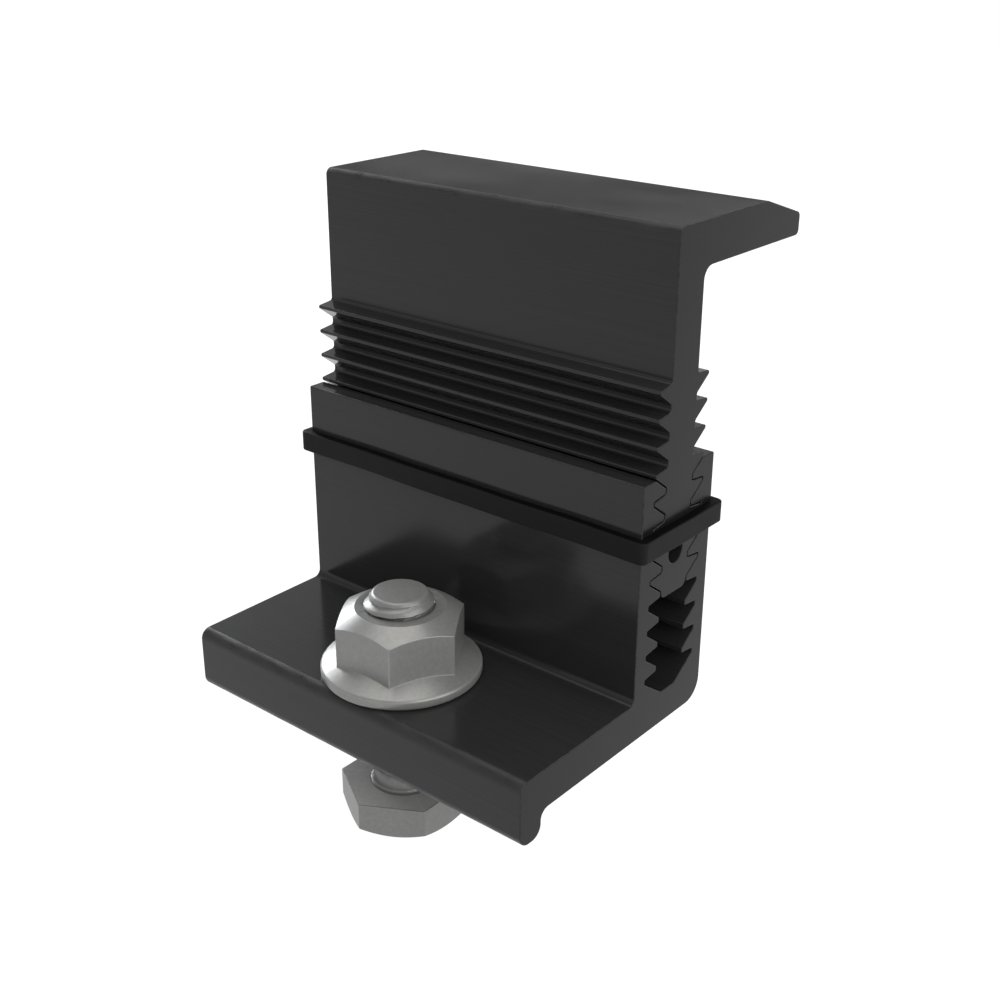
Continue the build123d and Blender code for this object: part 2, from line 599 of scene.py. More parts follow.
class Shader:
    """A material in the making, and the few moves that the finishes share."""

    def __init__(self, name: str) -> None:
        """Starts a material of that name with one Principled shader.

        Args:
            name: The material's name.
        """
        self.material = bpy.data.materials.new(name)
        self.material.use_nodes = True
        self.tree = self.material.node_tree
        self.tree.nodes.clear()
        self.surface = self.tree.nodes.new("ShaderNodeBsdfPrincipled")
        output = self.tree.nodes.new("ShaderNodeOutputMaterial")
        self.tree.links.new(self.surface.outputs[0], output.inputs["Surface"])
        self.place = self.tree.nodes.new("ShaderNodeTexCoord").outputs["Object"]

    def node(self, kind: str, **feeds: object) -> bpy.types.Node:
        """Adds a node. Feeds name its settings or, with spaces as underscores, its inputs.

        Args:
            kind: The node's type.
            feeds: Its settings, and a socket or a value for each input.

        Returns:
            The new node.
        """
        made = self.tree.nodes.new(kind)
        for key, value in feeds.items():
            label = key.replace("_", " ")
            if label not in made.inputs:
                setattr(made, key, value)
            else:
                connect(self.tree, made.inputs[label], value)
        return made

    def set(self, **feeds: object) -> None:
        """Sets or links inputs of the Principled shader.

        Args:
            feeds: A socket or a value for each input.
        """
        for key, value in feeds.items():
            connect(self.tree, self.surface.inputs[key.replace("_", " ")], value)

    def grain(self, size: tuple[float, float, float], detail: float = 3.0) -> bpy.types.NodeSocket:
        """Adds noise on Object coordinates.

        Args:
            size: The grain's size along X, Y and Z, in millimetres.
            detail: How many finer layers it has.

        Returns:
            The noise, from 0 to 1.
        """
        scale = tuple(1.0 / (length * MM) for length in size)
        stretched = self.node("ShaderNodeMapping", Vector=self.place, Scale=scale).outputs[0]
        return self.node("ShaderNodeTexNoise", Vector=stretched, Scale=1.0, Detail=detail).outputs["Fac"]

    def span(
        self,
        value: bpy.types.NodeSocket,
        low: float,
        high: float,
        edges: tuple[float, float] = (0.3, 0.7),
    ) -> bpy.types.NodeSocket:
        """Spreads a value over a range.

        Args:
            value: The value.
            low: What its lower edge becomes.
            high: What its upper edge becomes.
            edges: The lower and upper edge of the value.

        Returns:
            The spread value.
        """
        ends = {"From_Min": edges[0], "From_Max": edges[1], "To_Min": low, "To_Max": high}
        return self.node("ShaderNodeMapRange", Value=value, **ends).outputs[0]

    def mix(self, share: bpy.types.NodeSocket, first: object, second: object) -> bpy.types.NodeSocket:
        """Mixes two colours.

        Args:
            share: The share of the second.
            first: The first colour, as three numbers or a socket.
            second: The second colour.

        Returns:
            The mixed colour.
        """
        made = self.tree.nodes.new("ShaderNodeMix")
        made.data_type = "RGBA"
        self.tree.links.new(share, made.inputs["Factor"])
        for socket, feed in zip([s for s in made.inputs if s.type == "RGBA"], (first, second)):
            plain = not isinstance(feed, bpy.types.NodeSocket)
            connect(self.tree, socket, (*feed, 1.0) if plain else feed)
        return next(s for s in made.outputs if s.type == "RGBA")

    def relief(
        self, height: bpy.types.NodeSocket, depth: float, below: bpy.types.NodeSocket | None = None
    ) -> bpy.types.NodeSocket:
        """Adds fine relief.

        Args:
            height: The height from 0 to 1.
            depth: The full depth in millimetres.
            below: A relief that this one lies on.

        Returns:
            The bent normal.
        """
        made = self.node("ShaderNodeBump", Height=height, Distance=depth * MM, Strength=1.0)
        if below is not None:
            self.tree.links.new(below, made.inputs["Normal"])
        return made.outputs[0]

    def rings(
        self,
        place: bpy.types.NodeSocket,
        axis: str,
        spacing: float,
        waver: float,
        detail: float,
    ) -> bpy.types.NodeSocket:
        """Adds even rings round an axis.

        Args:
            place: The coordinates that they are drawn on.
            axis: The axis they run round.
            spacing: The distance from ring to ring, in millimetres.
            waver: How far they stray from true circles.
            detail: How many finer layers the straying has.

        Returns:
            The rings, from 0 to 1.
        """
        wave = self.node(
            "ShaderNodeTexWave",
            wave_type="RINGS",
            rings_direction=axis,
            Vector=place,
            Scale=FULL_TURN / (RING_RATE * spacing * MM),
            Distortion=waver,
            Detail=detail,
        )
        return wave.outputs["Fac"]

    def worn(self) -> bpy.types.NodeSocket:
        """Gives the worn share of the surface: the marked edges, broken up by a fine grain.

        Returns:
            The share, from 0 to 1.
        """
        mark = self.node("ShaderNodeAttribute", attribute_name="edge").outputs["Fac"]
        patches = self.span(self.grain((2.4, 0.8, 0.8)), 0.35, 1.0, (0.35, 0.65))
        return self.math("MULTIPLY", mark, patches)

    def math(self, operation: str, *feeds: object) -> bpy.types.NodeSocket:
        """Adds a Math node, fed by sockets or numbers, and returns its result.

        Args:
            operation: What it works out.
            feeds: A socket or a number for each input.

        Returns:
            Its result.
        """
        made = self.tree.nodes.new("ShaderNodeMath")
        made.operation = operation
        for socket, feed in zip(made.inputs, feeds):
            connect(self.tree, socket, feed)
        return made.outputs[0]


@dataclass(frozen=True)
class BlackAnodised:
    """Black anodised aluminium: drawn faces with die lines, or sawn faces with blade marks."""

    cut: Cut
    colour: tuple[float, float, float] = (0.0175, 0.0175, 0.0180)
    bright: tuple[float, float, float] = (0.0240, 0.0240, 0.0245)
    worn_colour: tuple[float, float, float] = (0.026, 0.026, 0.027)
    worn_roughness: float = 0.30
    roughness: tuple[float, float] = (0.13, 0.19)
    index: float = 1.30
    line_size: tuple[float, float, float] = (60.0, 0.16, 0.16)
    line_depth: float = 0.0022
    pore_size: float = 0.09
    pore_depth: float = 0.0012
    saw_spacing: float = 0.42
    saw_centre: tuple[float, float] = (-95.0, 120.0)
    saw_depth: float = 0.0024
    saw_waver: float = 1.5
    cloud_size: tuple[float, float, float] = (14.0, 9.0, 9.0)
    marked_share: float = 0.7

    def build(self) -> bpy.types.Material:
        """Makes the material.

        Returns:
            The material.
        """
        shader = Shader(f"black_anodised_{self.cut.name.lower()}")
        pores = shader.grain((self.pore_size,) * 3, 2.0)
        if self.cut is Cut.DRAWN:
            marks, depth = shader.grain(self.line_size, 4.0), self.line_depth
        else:
            marks, depth = self.blade_marks(shader), self.saw_depth
        cloud = shader.grain(self.cloud_size, 2.0)
        shade = shader.mix(shader.span(marks, 0.0, self.marked_share), self.colour, self.bright)
        worn = shader.worn()
        rubbed = shader.math("MULTIPLY", worn, self.worn_roughness)
        shader.set(
            Base_Color=shader.mix(worn, shade, self.worn_colour),
            Roughness=shader.math("ADD", shader.span(cloud, *self.roughness), rubbed),
            IOR=self.index,
            Normal=shader.relief(pores, self.pore_depth, shader.relief(marks, depth)),
        )
        return shader.material

    def blade_marks(self, shader: Shader) -> bpy.types.NodeSocket:
        """Adds the shallow arcs that a round saw blade leaves across a sawn end.

        Args:
            shader: The material in the making.

        Returns:
            The height of the marks, from 0 to 1.
        """
        centre = (0.0, -self.saw_centre[0] * MM, -self.saw_centre[1] * MM)
        flat = {"Location": centre, "Scale": (0.0, 1.0, 1.0)}
        round_it = shader.node("ShaderNodeMapping", Vector=shader.place, **flat).outputs[0]
        return shader.rings(round_it, "X", self.saw_spacing, self.saw_waver, 3.0)


@dataclass(frozen=True)
class BandRubber:
    """Matt black rubber with a fine moulded skin. Its outer face takes a dusty colour; its top and inner
    faces keep a near-black colour that is painted shade.
    """

    # The near-black colour is painted shade on the top and inner faces; the dusty colour is the outer
    # face's own.
    colour: tuple[float, float, float] = (0.0016, 0.0016, 0.0017)
    unshaded_dusty: tuple[float, float, float] = (0.0095, 0.0095, 0.0096)
    roughness: tuple[float, float] = (0.50, 0.62)
    index: float = 1.18
    skin_size: float = 0.12
    skin_depth: float = 0.006
    cloud_size: tuple[float, float, float] = (3.0, 3.0, 1.2)
    least_dust: float = 0.7

    def build(self) -> bpy.types.Material:
        """Makes the material.

        Returns:
            The material.
        """
        shader = Shader("band_rubber")
        skin = shader.grain((self.skin_size,) * 3)
        cloud = shader.grain(self.cloud_size)
        outside = shader.node("ShaderNodeAttribute", attribute_name="edge").outputs["Fac"]
        # Dust lightens only the outer face; the top and inner faces stay near-black as painted shade.
        dust_and_painted_shade = shader.math("MULTIPLY", outside, shader.span(cloud, self.least_dust, 1.0))
        shader.set(
            Base_Color=shader.mix(dust_and_painted_shade, self.colour, self.unshaded_dusty),
            Roughness=shader.span(cloud, *self.roughness),
            IOR=self.index,
            Normal=shader.relief(skin, self.skin_depth),
        )
        return shader.material


@dataclass(frozen=True)
class PlainSteel:
    """Plain steel of a cold-formed fastener: mottled, with turned rings on its flat faces."""

    name: str
    colour: tuple[float, float, float]
    bright: tuple[float, float, float]
    roughness: tuple[float, float]
    metallic: float = 0.38
    varnish: float = 0.25
    ring_spacing: float = 0.16
    ring_depth: float = 0.0012
    ring_waver: float = 0.6
    mottle_size: float = 0.45
    mottle_depth: float = 0.0016
    fine_size: float = 0.07
    rubbed: float = 1.04

    def build(self) -> bpy.types.Material:
        """Makes the material.

        Returns:
            The material.
        """
        shader = Shader(self.name)
        mottle = shader.grain((self.mottle_size,) * 3, 4.0)
        fine = shader.grain((self.fine_size,) * 3, 2.0)
        rings = shader.rings(shader.place, "Z", self.ring_spacing, self.ring_waver, 2.0)
        relief = shader.relief(mottle, self.mottle_depth, shader.relief(rings, self.ring_depth))
        shade = shader.mix(shader.span(mottle, 0.0, 1.0), self.colour, self.bright)
        rubbed = tuple(self.rubbed * part for part in self.bright)
        shader.set(
            Base_Color=shader.mix(shader.worn(), shade, rubbed),
            Metallic=self.metallic,
            Specular_IOR_Level=self.varnish,
            Roughness=shader.span(fine, *self.roughness),
            Normal=relief,
        )
        return shader.material


# The clamp's pieces.


@dataclass(frozen=True)
class ToothForm:
    """The barbed tooth that the stem has and the channel makes room for."""

    pitch: float = 2.95
    depth: float = 2.10
    slope: float = 36.5
    top_fall: float = 0.25
    blunt: float = 0.35
    weld: float = 0.0005

    def rise(self) -> float:
        """Gives how fast the underside rises outward."""
        return math.tan(math.radians(self.slope))

    def height(self) -> float:
        """Gives the height from the lower root to the level of the tip."""
        return self.blunt + self.depth * self.rise()

    def top(self, out: float, gap: float = 0.0) -> float:
        """Gives the height of the tooth's top, at a distance out, with a gap over it."""
        fall = self.top_fall / self.depth
        return self.top_fall - fall * out + gap * math.hypot(1.0, fall)

    def underside(self, out: float, gap: float = 0.0) -> float:
        """Gives the height of the tooth's underside, at a distance out, with a gap under it."""
        return out * self.rise() - self.height() - gap / math.cos(math.radians(self.slope))

    def rack(
        self, tree: NodeTree, teeth: int, gap: float, root_radius: float, tip_radius: float, solid: bool
    ) -> list[Spot]:
        """Repeats the tooth's outline upwards.

        Args:
            tree: The tree that repeats it.
            teeth: How many teeth there are.
            gap: How far the outline stands off the tooth all round.
            root_radius: The radius of the corners next to the stem.
            tip_radius: The radius of the corners at the tip.
            solid: Whether the tooth itself is material, and not the room round it.

        Returns:
            Spots from the lowest tooth's root up to the highest one's: how far out from the
            stem's face, how high over the lowest tooth's tip, and the wear.
        """
        tip = self.depth + gap
        low, high = self.underside(gap, gap), self.top(gap, gap)
        land = (self.pitch - (high - low)) / 2
        unit = [
            (gap, low - land, 0.0),
            (gap, low, root_radius),
            (tip, self.underside(tip, gap), tip_radius),
            (tip, self.top(tip, gap), tip_radius),
            (gap, high, root_radius),
            (gap, high + land, 0.0),
        ]
        line = rounded_line(unit if solid else unit[::-1], closed=False, steps=6)
        mesh = bpy.data.meshes.new("tooth_outline")
        links = [(i, i + 1) for i in range(len(line) - 1)]
        mesh.from_pydata([(0.0, out, up) for out, up, _ in line], links, [])
        set_marks(mesh, "edge", [spot[2] for spot in line])
        piece = new_piece("tooth_outline", mesh)
        tree.apply(piece, {"Teeth": teeth, "Pitch": self.pitch, "Weld": self.weld})
        marks = piece.data.attributes["edge"].data
        spots = [(v.co.y, v.co.z, marks[v.index].value) for v in piece.data.vertices]
        spots = in_order(spots, [tuple(edge.vertices) for edge in piece.data.edges])
        bpy.data.objects.remove(piece)
        return spots[1:-1]


def in_order(spots: list[Spot], edges: list[tuple[int, int]]) -> list[Spot]:
    """Walks an open chain of edges from its lowest end to its highest.

    Args:
        spots: The chain's spots, in any order.
        edges: Pairs of spots that are joined.

    Returns:
        The spots in order.
    """
    beside: dict[int, list[int]] = {}
    for a, b in edges:
        beside.setdefault(a, []).append(b)
        beside.setdefault(b, []).append(a)
    here = min((i for i in beside if len(beside[i]) == 1), key=lambda i: spots[i][1])
    walked = [here]
    while True:
        onward = [i for i in beside[here] if len(walked) < 2 or i != walked[-2]]
        if not onward:
            return [spots[i] for i in walked]
        here = onward[0]
        walked.append(here)


@dataclass
class Profiles:
    """The two black profiles that mesh by their teeth: the foot and the hook."""

    drawn: bpy.types.Material
    sawn: bpy.types.Material
    tooth: ToothForm = field(default_factory=ToothForm)
    length: float = 48.0
    eased: float = 0.10
    corner: float = 0.13
    # Foot
    foot_front: float = -8.75
    heel_back: float = -5.45
    underside: float = 2.85
    foot_top: float = 7.55
    heel_toe: float = 1.4
    heel_root: float = 1.1
    nose: float = 1.2
    block_front: float = 10.25
    block_back: float = 23.25
    block_top: float = 32.60
    block_root: float = 0.9
    block_foot: float = 2.5
    block_edge: float = 0.22
    # Channel
    middle: float = 16.75
    stem_half: float = 2.35
    gap: float = 0.15
    mouth_over: float = 0.62
    notches: int = 9
    floor_half: float = 1.3
    floor_radius: float = 0.9
    # Hook
    teeth: int = 8
    steps_up: int = 3
    crown_rise: float = 15.70
    gullet: float = 0.35
    tail: float = 1.0
    tail_radius: float = 0.8
    port_radius: float = 1.3
    port_rise: float = 4.80
    lip_reach: float = 20.90
    lip_thick: float = 4.65
    slope_run: float = 6.95
    slope_fall: float = 2.25
    lip_root: float = 1.4
    lip_tip: float = 0.6
    lip_ridge: float = 1.0
    crown_radius: float = 0.8
    # Bolt hole
    hole_radius: float = 4.2
    hole_ease: float = 0.25
    drill_spare: float = 1.0
    drill_steps: int = 96
    port_steps: int = 40

    def build(self, rack: NodeTree) -> list[bpy.types.Object]:
        """Makes and dresses both profiles.

        Args:
            rack: The tree that repeats the teeth.

        Returns:
            The foot and the hook.
        """
        foot = self.dress("foot_bar", self.foot_outline(rack), [])
        self.drill(foot)
        hook = self.dress("hook_bar", self.hook_outline(rack), [self.screw_port()])
        for piece, body, node in ((foot, "foot", "foot_profile"), (hook, "hook", "hook_profile")):
            smooth_over(piece)
            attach(piece, body)
            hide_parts(node)
        return [foot, hook]

    def dress(self, name: str, outer: list[Spot], bores: list[list[Spot]]) -> bpy.types.Object:
        """Makes one sawn length with both finishes on it.

        Args:
            name: The piece's name.
            outer: Its outline.
            bores: The holes along it.

        Returns:
            The piece.
        """
        mesh = sawn_bar(name, outer, bores, self.length, self.eased)
        mesh.materials.append(self.drawn)
        mesh.materials.append(self.sawn)
        return new_piece(name, mesh)

    def first_notch(self) -> float:
        """Gives the height of the topmost notch's tip level."""
        return self.block_top + self.mouth_over

    def foot_outline(self, rack: NodeTree) -> list[Spot]:
        """Draws the foot with its upright and the channel.

        Args:
            rack: The tree that repeats the notches.

        Returns:
            The outline, with the material on its left.
        """
        tooth, gap, r = self.tooth, self.gap, self.corner
        mouth = self.first_notch()
        last = mouth - (self.notches - 1) * tooth.pitch
        tip = tooth.depth + gap
        flare = (self.block_top - mouth - tooth.underside(0.0, gap)) / tooth.rise()
        floor = last - tooth.blunt - (self.stem_half + tip - self.floor_half) * tooth.rise()
        wall = tooth.rack(rack, self.notches - 2, gap, r, r, solid=False)
        wall = [(self.stem_half + out, last + tooth.pitch + up, wear) for out, up, wear in wall]
        upper = [
            (self.stem_half + flare, self.block_top, r),
            (self.stem_half + gap, mouth + tooth.underside(gap, gap), r),
            (wall[-1][0], wall[-1][1], 0.0),
        ]
        lower = [
            (wall[0][0], wall[0][1], 0.0),
            (self.stem_half + gap, last + tooth.top(gap, gap), r),
            (self.stem_half + tip, last + tooth.top(tip, gap), r),
            (self.stem_half + tip, last + tooth.underside(tip, gap), r),
            (self.floor_half, floor, self.floor_radius),
        ]
        spots = rounded_line(
            [
                (self.middle - upper[2][0], upper[2][1], 0.0),
                (self.middle - upper[1][0], upper[1][1], r),
                (self.middle - upper[0][0], upper[0][1], r),
                (self.block_front, self.block_top, self.block_edge),
                (self.block_front, self.foot_top, self.block_root),
                (self.foot_front, self.foot_top, self.nose),
                (self.foot_front, 0.0, self.heel_toe),
                (self.heel_back, 0.0, self.heel_toe),
                (self.heel_back, self.underside, self.heel_root),
                (self.block_back, self.underside, self.block_foot),
                (self.block_back, self.block_top, self.block_edge),
                *[(self.middle + out, up, radius) for out, up, radius in upper],
            ],
            closed=False,
        )
        spots += [(self.middle + out, up, wear) for out, up, wear in reversed(wall)][1:-1]
        bottom = [(self.middle + out, up, radius) for out, up, radius in lower]
        bottom += [(self.middle - out, up, radius) for out, up, radius in reversed(lower)]
        spots += rounded_line(bottom, closed=False)
        spots += [(self.middle - out, up, wear) for out, up, wear in wall][1:-1]
        return spots

    def hook_outline(self, rack: NodeTree) -> list[Spot]:
        """Draws the hook with its toothed stem and its lip.

        Args:
            rack: The tree that repeats the teeth.

        Returns:
            The outline, with the material on its left.
        """
        tooth = self.tooth
        top_tooth = self.first_notch() + self.steps_up * tooth.pitch
        last = top_tooth - (self.teeth - 1) * tooth.pitch
        crown, end = top_tooth + self.crown_rise, last - tooth.height() - self.tail
        side = tooth.rack(rack, self.teeth, 0.0, self.gullet, self.corner, solid=True)
        side = [(self.stem_half + out, last + up, wear) for out, up, wear in side]
        under = crown - self.lip_thick
        head = [
            (self.stem_half, side[-1][1], 0.0),
            (self.stem_half, under, self.lip_root),
            (self.lip_reach, under, self.lip_tip),
            (self.lip_reach, crown - self.slope_fall, self.lip_tip),
            (self.lip_reach - self.slope_run, crown, self.lip_ridge),
            (-self.stem_half, crown, self.crown_radius),
            (-self.stem_half, side[-1][1], 0.0),
        ]
        foot = [
            (-self.stem_half, side[0][1], 0.0),
            (-self.stem_half, end, self.tail_radius),
            (self.stem_half, end, self.tail_radius),
            (self.stem_half, side[0][1], 0.0),
        ]
        spots = rounded_line(foot, closed=False) + side[1:-1] + rounded_line(head, closed=False)
        spots += [(-out, up, wear) for out, up, wear in reversed(side)][1:-1]
        return [(self.middle + across, up, wear) for across, up, wear in spots]

    def screw_port(self) -> list[Spot]:
        """Draws the round port that runs through the stem, with the material on its left.

        Returns:
            The port's outline.
        """
        tooth = self.tooth
        last = self.first_notch() + (self.steps_up - self.teeth + 1) * tooth.pitch
        end = last - tooth.height() - self.tail
        count = self.port_steps
        angles = [-FULL_TURN * i / count for i in range(count)]
        return [
            (
                self.middle + self.port_radius * math.cos(angle),
                end + self.port_rise + self.port_radius * math.sin(angle),
                0.0,
            )
            for angle in angles
        ]

    def drill(self, foot: bpy.types.Object) -> None:
        """Drills the bolt hole through the foot plate, with its rims eased.

        Args:
            foot: The foot's bar.
        """
        wide, spare = self.hole_radius + self.hole_ease, self.drill_spare
        low, high, ease = self.underside, self.foot_top, self.hole_ease
        section = [
            Station(0.0, low - spare),
            Station(wide + spare, low - spare),
            Station(wide, low),
            Station(self.hole_radius, low + ease),
            Station(self.hole_radius, high - ease),
            Station(wide, high),
            Station(wide + spare, high + spare),
            Station(0.0, high + spare),
        ]
        angles = [FULL_TURN * i / self.drill_steps for i in range(self.drill_steps)]
        mesh = turned("drill", angles, [section] * len(angles), ring=False)
        mesh.materials.append(self.drawn)
        mesh.materials.append(self.sawn)
        drill = new_piece("drill", mesh)
        cut = foot.modifiers.new("bolt_hole", "BOOLEAN")
        cut.operation, cut.solver, cut.object = "DIFFERENCE", "EXACT", drill
        settle(foot)
        bpy.data.objects.remove(drill)


@dataclass
class RubberBand:
    """The flat rubber band round the block and the ends of the stem."""

    rubber: bpy.types.Material
    half_length: float = 24.0
    half_width: float = 6.5
    middle: float = 16.75
    level: float = 24.60
    height: float = 2.40
    thick: float = 1.04
    inner_corner: float = 0.06
    outer_corner: float = 0.75
    edge_radius: float = 0.16
    slack: float = 0.05
    waves: tuple[float, float] = (0.41, 0.23)
    step: float = 0.8
    inner_edge: float = 0.12
    wave_lean: float = 0.7
    wave_start: float = 1.9

    def loop(self, out: float) -> list[tuple[float, float]]:
        """Draws the band's line at a distance out from the block.

        Args:
            out: The distance from the block's faces.

        Returns:
            Points across X and Y, the same number at every distance.
        """
        radius = self.inner_corner + (self.outer_corner - self.inner_corner) * out / self.thick
        a, b = self.half_length + out, self.half_width + out
        corners = [(-a, -b, radius), (a, -b, radius), (a, b, radius), (-a, b, radius)]
        spots = rounded_line(corners, closed=True)
        # A corner has nine spots, so a straight run starts at every ninth: long, short, long, short.
        long_runs, short_runs = (8, 26), (17, 35)
        points: list[tuple[float, float]] = []
        for place, spot in enumerate(spots):
            after = spots[(place + 1) % len(spots)]
            run = 0.0
            if place in long_runs:
                run = 2 * self.half_length
            elif place in short_runs:
                run = 2 * self.half_width
            parts = max(1, round(run / self.step))
            points += [part_way(spot, after, i, parts) for i in range(parts)]
        return points

    def build(self) -> bpy.types.Object:
        """Makes and dresses the band, which stretches where the hook slides out.

        Returns:
            The band.
        """
        half_thick, half_high, r = self.thick / 2, self.height / 2, self.edge_radius
        section = rounded_line(
            [
                (-half_thick, -half_high, self.inner_edge),
                (half_thick, -half_high, r),
                (half_thick, half_high, r),
                (-half_thick, half_high, self.inner_edge),
            ],
            closed=True,
            steps=5,
        )
        points: list[tuple[float, float, float]] = []
        for out, up, _ in section:
            for x, y in self.loop(out + half_thick):
                drift = self.slack * (
                    math.sin(self.waves[0] * x + self.wave_lean * y)
                    + math.sin(self.waves[1] * x - self.wave_start)
                )
                height = self.level + half_high + up + 0.5 * drift
                points.append((x, self.middle + y, height))
        count, rows = len(points) // len(section), len(section)
        faces = [
            (
                row * count + i,
                row * count + (i + 1) % count,
                (row + 1) % rows * count + (i + 1) % count,
                (row + 1) % rows * count + i,
            )
            for row in range(rows)
            for i in range(count)
        ]
        mesh = new_mesh("stretched_band", points, faces)
        # Marks the outer face for dust; the unmarked top and inner faces take the rubber's painted
        # shade.
        outside = [float(out > half_thick - 0.5 * r) for out, _, _ in section for _ in range(count)]
        set_marks(mesh, "edge", outside)
        mesh.materials.append(self.rubber)
        piece = new_piece("stretched_band", mesh)
        smooth_over(piece, 60.0)
        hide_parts("retaining_band")
        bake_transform(piece)
        return piece


@dataclass(frozen=True)
class MetricThread:
    """The M8 thread that bolt and nut share. Its phase is set by height and angle alone."""

    pitch: float = 1.25
    crest: float = 4.0
    root: float = 3.235
    crest_share: float = 0.125
    root_share: float = 0.16
    allowance: float = 0.06
    rows_a_turn: int = 16

    def step(self) -> float:
        """Gives the rise from row to row."""
        return self.pitch / self.rows_a_turn

    def cut(
        self,
        tree: NodeTree,
        piece: bpy.types.Object,
        side: ThreadSide,
        steel: bpy.types.Material,
    ) -> None:
        """Cuts the thread into a piece.

        Args:
            tree: The tree that cuts it.
            piece: The piece, with its stations marked.
            side: Whether it stands on a shank or in a bore.
            steel: The piece's material.
        """
        tree.apply(
            piece,
            {
                "Pitch": self.pitch * MM,
                "Crest Radius": self.crest * MM,
                "Root Radius": self.root * MM,
                "Crest Share": self.crest_share,
                "Root Share": self.root_share,
                "Allowance": self.allowance * MM,
                "In Bore": side is ThreadSide.BORE,
                "Material": steel,
            },
        )


@dataclass(frozen=True)
class Hexagon:
    """The outline of a hexagon with eased corners, seen along the bolt."""

    across: float
    turn: float
    ease: float = 0.28
    parts: int = 14
    arc_steps: int = 4

    def polar(self) -> list[tuple[float, float]]:
        """Gives angle and radius of each point of the outline, in rising angle.

        Returns:
            Pairs of angle and radius.
        """
        corner = self.across / 2 / math.cos(HALF_FLAT)
        corners = []
        for side in range(6):
            angle = math.radians(self.turn + 60 * side)
            corners.append((corner * math.cos(angle), corner * math.sin(angle), self.ease))
        spots = rounded_line(corners, closed=True, steps=self.arc_steps)
        points = []
        for place, spot in enumerate(spots):
            after = spots[(place + 1) % len(spots)]
            parts = self.parts if place % (self.arc_steps + 1) == self.arc_steps else 1
            for i in range(parts):
                x, y = part_way(spot, after, i, parts)
                points.append((math.atan2(y, x), math.hypot(x, y)))
        return sorted(points)


@dataclass
class HexBolt:
    """The M8 bolt whose hexagon head stands in the rail's slot."""

    steel: bpy.types.Material
    # The bearing face's steel: real turned rings, and a colour painted much lighter as painted light in
    # the foot's shade.
    turned: bpy.types.Material
    thread: MetricThread
    top: float = 17.30
    bearing: float = -6.50
    head: float = 4.0
    across: float = 13.0
    head_turn: float = 30.0
    face_radius: float = 6.175
    neck_radius: float = 3.6
    neck: float = 1.5
    fillet: float = 0.4
    tip_taper: float = 1.0
    tip_height: float = 1.45
    tip_ease: float = 0.5
    dome: float = 0.07
    face_edge: float = 0.25
    run_out: float = 0.4
    level_normal: float = 0.99
    level_slack: float = 0.05
    edge: float = 0.12

    def section(self, hexagon: float) -> list[Station]:
        """Draws the bolt's section where its hexagon has a given radius.

        Args:
            hexagon: The hexagon's radius there.

        Returns:
            The stations, from the bottom of the axis to its top.
        """
        t, bottom = self.thread, self.bearing - self.head
        chamfer = (hexagon - self.face_radius) * math.tan(CHAMFER)
        shank, tip = self.bearing + self.neck + self.run_out, self.top - self.tip_height
        low = rounded_line(
            [
                (0.0, bottom, 0.0),
                (self.face_radius, bottom, self.face_edge),
                (hexagon, bottom + chamfer, self.edge),
                (hexagon, self.bearing, self.edge),
                (self.neck_radius, self.bearing, self.fillet),
                (self.neck_radius, self.bearing + self.neck, 0.0),
                (t.crest, shank, 0.0),
            ],
            closed=False,
            steps=4,
        )[:-1]
        flat = t.crest - self.tip_taper
        end = rounded_line(
            [(t.crest, tip, 0.0), (flat, self.top - self.dome, self.tip_ease), (0.0, self.top, 0.0)],
            closed=False,
            steps=6,
        )
        cone = rows_between((t.crest, tip), end[1][:2], t.step())
        return (
            stations(low)
            + rows_between((t.crest, shank), (t.crest, tip), t.step())
            + cone[1:-1]
            + stations(end[1:])
        )

    def build(self, cutter: NodeTree) -> bpy.types.Object:
        """Makes and dresses the bolt.

        Args:
            cutter: The tree that cuts the thread.

        Returns:
            The bolt.
        """
        outline = Hexagon(self.across, self.head_turn).polar()
        sections = [self.section(radius) for _, radius in outline]
        mesh = turned("threaded_bolt", [angle for angle, _ in outline], sections, ring=False)
        mesh.materials.append(self.steel)
        piece = new_piece("threaded_bolt", mesh)
        self.thread.cut(cutter, piece, ThreadSide.SHANK, self.steel)
        self.face_off_and_paint_light(piece)
        smooth_over(piece)
        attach(piece, "bolt")
        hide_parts("hex_bolt")
        return piece

    def face_off_and_paint_light(self, piece: bpy.types.Object) -> None:
        """Gives the face under the head, which bears on the rail's lips, its turned finish, in a steel
        painted much lighter than the rest of the bolt: painted light where the foot's shade falls.

        Args:
            piece: The bolt, with its thread cut.
        """
        piece.data.materials.append(self.turned)
        level, slack = self.bearing * MM, self.level_slack * MM
        for face in piece.data.polygons:
            if face.normal.z > self.level_normal and abs(face.center.z - level) < slack:
                face.material_index = 1


